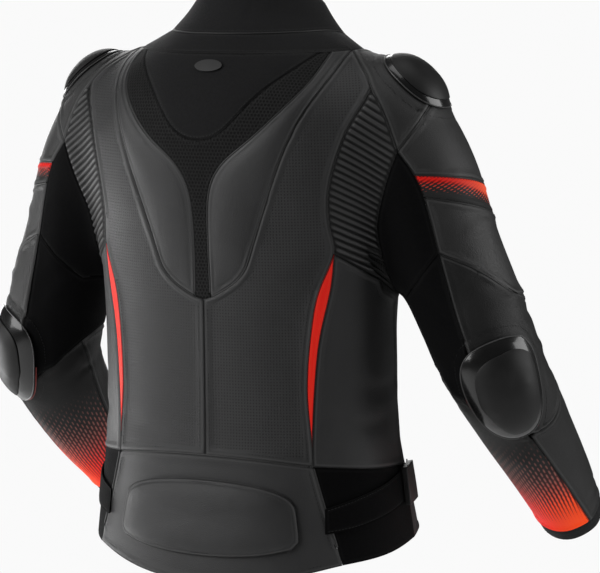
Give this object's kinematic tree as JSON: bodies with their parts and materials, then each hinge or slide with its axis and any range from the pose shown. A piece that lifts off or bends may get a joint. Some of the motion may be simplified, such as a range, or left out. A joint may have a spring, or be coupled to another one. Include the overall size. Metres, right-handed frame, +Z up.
{
  "type": "motorcycle jacket",
  "caption": "Zipped leather motorcycle jacket in its worn form, with stand-up collar, ribbed shoulder-blade panels, padded back and lower back, elbow and shoulder cups, and bent sleeves.",
  "frame": {"origin": "between the wearer's shoulders, on the body's centre line, level with the seam under the collar", "axes": "+Z up, +Y toward the wearer's back, +X toward the wearer's left hand"},
  "size_m": [0.743, 0.4054, 0.6918],
  "materials": {
    "leather": "smooth dark grey",
    "perforated_leather": "finely perforated dark grey",
    "ribbed_leather": "matte black ribbed",
    "red_leather": "satin red",
    "printed_red": "red and black halftone fade",
    "neoprene": "matte black",
    "air_mesh": "open knitted black",
    "stretch_cloth": "matte black",
    "cup_plastic": "glossy black",
    "plate_plastic": "matte black",
    "badge": "matte dark grey",
    "zip_chain": "matte black",
    "zip_metal": "satin black"
  },
  "bodies": {
    "jacket": {"collar": "neoprene", "neck_band": "neoprene", "yoke": "neoprene", "back_mesh": "air_mesh", "lower_back": "leather", "kidney_pad": "leather", "yoke_badge": "badge", "zip": "zip_chain", "zip_slider": "zip_metal", "back_pad_left": "leather", "back_pad_right": "leather", "back_left": "perforated_leather", "back_right": "perforated_leather", "accordion_left": "ribbed_leather", "accordion_right": "ribbed_leather", "sliver_left": "red_leather", "sliver_right": "red_leather", "side_left": "leather", "side_right": "leather", "hem_side_left": "stretch_cloth", "hem_side_right": "stretch_cloth", "shoulder_left": "leather", "shoulder_right": "leather", "front_left": "leather", "front_right": "leather", "stretch_left": "stretch_cloth", "stretch_right": "stretch_cloth", "inner_front_left": "stretch_cloth", "inner_front_right": "stretch_cloth", "upper_sleeve_left": "leather", "upper_sleeve_right": "leather", "arm_band_left": "printed_red", "arm_band_right": "printed_red", "mid_sleeve_left": "leather", "mid_sleeve_right": "leather", "elbow_sleeve_left": "leather", "elbow_sleeve_right": "leather", "inner_sleeve_left": "stretch_cloth", "inner_sleeve_right": "stretch_cloth", "forearm_print_left": "printed_red", "forearm_print_right": "printed_red", "forearm_left": "leather", "forearm_right": "leather", "cuff_left": "neoprene", "cuff_right": "neoprene", "waist_strap_left": "stretch_cloth", "waist_strap_right": "stretch_cloth", "strap_tab_left": "leather", "strap_tab_right": "leather", "shoulder_cup_left": "cup_plastic", "shoulder_cup_right": "cup_plastic", "elbow_cup_left": "cup_plastic", "elbow_cup_right": "cup_plastic", "shoulder_plate_left": "plate_plastic", "shoulder_plate_right": "plate_plastic", "elbow_plate_left": "plate_plastic", "elbow_plate_right": "plate_plastic"},
    "zip_pull": {"zip_pull": "zip_metal"}
  },
  "joints": [
    {"name": "zip_pull_hinge", "type": "hinge", "parent": "jacket", "child": "zip_pull", "pos_m": [0, -0.13055, 0.03099], "axis": [-1, 0, 0], "range_deg": [0, 150]}
  ]
}
